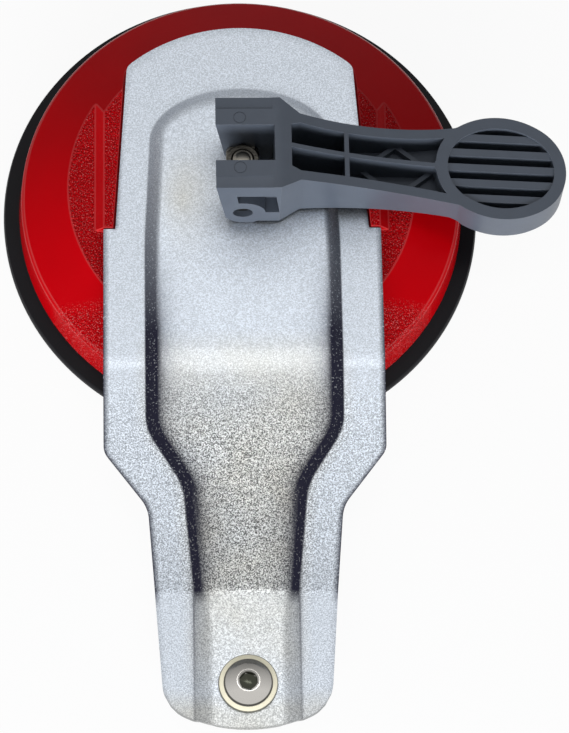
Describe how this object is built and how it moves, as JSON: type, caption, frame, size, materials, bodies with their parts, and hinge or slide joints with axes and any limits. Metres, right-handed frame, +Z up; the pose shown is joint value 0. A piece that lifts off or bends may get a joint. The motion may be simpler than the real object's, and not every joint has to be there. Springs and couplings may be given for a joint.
{
  "type": "floor tile suction lifter",
  "caption": "Suction cup lifter for floor tiles: rubber cup under a red disc, cam lever that pulls the cup's centre up, and a bent steel arm plate with a tail screw.",
  "frame": {"origin": "centre of the cup on the plane that it rests on", "axes": "+Z up, +X along the closed lever towards its grip, -Y towards the tail of the arm plate"},
  "size_m": [0.1754, 0.245, 0.0558],
  "materials": {
    "black_rubber": "matte",
    "bright_steel": "polished",
    "spring_steel": "satin",
    "red_plastic": "satin",
    "natural_nylon": "matte",
    "zinc_plated_steel": "satin",
    "grey_nylon": "satin"
  },
  "bodies": {
    "base": {"suction_pad": "black_rubber", "base_disc": "red_plastic", "guide_bush": "natural_nylon", "arm_plate": "zinc_plated_steel", "tail_screw": "bright_steel", "tail_nut": "bright_steel"},
    "lift": {"pad_insert": "bright_steel", "lift_stud": "bright_steel", "spring_washer": "bright_steel", "return_spring": "spring_steel", "trunnion": "bright_steel", "pivot_pin_front": "bright_steel", "pivot_pin_rear": "bright_steel", "stud_nut": "bright_steel"},
    "lever": {"lever_body": "grey_nylon"}
  },
  "joints": [
    {"name": "stud_slide", "type": "slide", "parent": "base", "child": "lift", "axis": [0, 0, -1], "range_m": [0, 0.0015], "deforming": ["return_spring", "suction_pad"]},
    {"name": "lever_pivot", "type": "hinge", "parent": "lift", "child": "lever", "pos_m": [0, 0, 0.0371], "axis": [0, -1, 0], "range_deg": [0, 82]}
  ],
  "couplings": [
    {"joint": "stud_slide", "follows": "lever_pivot", "m_per_rad": 0.001013}
  ]
}
